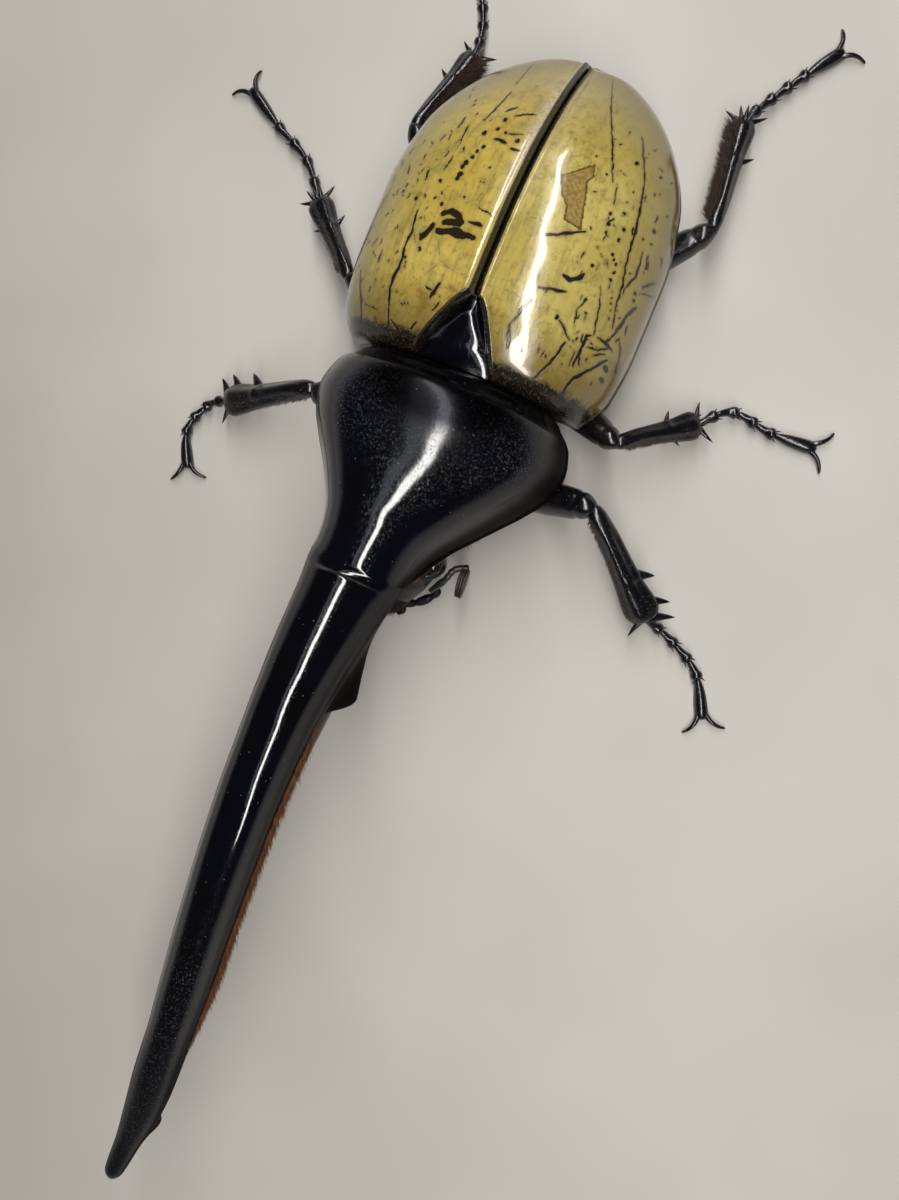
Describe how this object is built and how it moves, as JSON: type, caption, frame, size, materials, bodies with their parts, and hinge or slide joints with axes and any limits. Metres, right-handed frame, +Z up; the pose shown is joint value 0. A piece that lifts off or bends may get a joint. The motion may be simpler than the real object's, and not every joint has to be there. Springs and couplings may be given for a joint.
{
  "type": "hercules beetle",
  "caption": "Life-size still model of a male hercules beetle resting on its feet, with a long horn over a shorter one, olive wing cases and slender clawed legs.",
  "frame": {"origin": "on the floor under the middle of the whole beetle's box", "axes": "+Y along the body from head to tail, so the horns point to -Y; +X towards the beetle's left side; +Z up"},
  "size_m": [0.112, 0.191, 0.0382],
  "materials": {
    "wing_case": "glossy olive yellow shell with dark cracks and spots",
    "black_shell": "polished black shell with a faint blue cast and fine pits",
    "underside_shell": "satin black-brown shell",
    "leg_shell": "glossy black shell with small pits",
    "eye": "glossy dark brown, very finely faceted",
    "feeler": "satin dark grey-brown",
    "hair": "short reddish brown bristles"
  },
  "bodies": {
    "root": {"elytron_left": "wing_case", "elytron_right": "wing_case", "scutellum": "black_shell", "pronotum": "black_shell", "thoracic_horn": "black_shell", "cephalic_horn": "black_shell", "head": "black_shell", "clypeus": "black_shell", "eye_left": "eye", "eye_right": "eye", "antenna_left": "feeler", "antenna_right": "feeler", "thorax": "underside_shell", "abdomen": "underside_shell", "front_left_femur": "leg_shell", "front_left_tibia": "leg_shell", "front_left_tarsus": "leg_shell", "front_right_femur": "leg_shell", "front_right_tibia": "leg_shell", "front_right_tarsus": "leg_shell", "middle_left_femur": "leg_shell", "middle_left_tibia": "leg_shell", "middle_left_tarsus": "leg_shell", "middle_right_femur": "leg_shell", "middle_right_tibia": "leg_shell", "middle_right_tarsus": "leg_shell", "hind_left_femur": "leg_shell", "hind_left_tibia": "leg_shell", "hind_left_tarsus": "leg_shell", "hind_right_femur": "leg_shell", "hind_right_tibia": "leg_shell", "hind_right_tarsus": "leg_shell"}
  },
  "joints": []
}
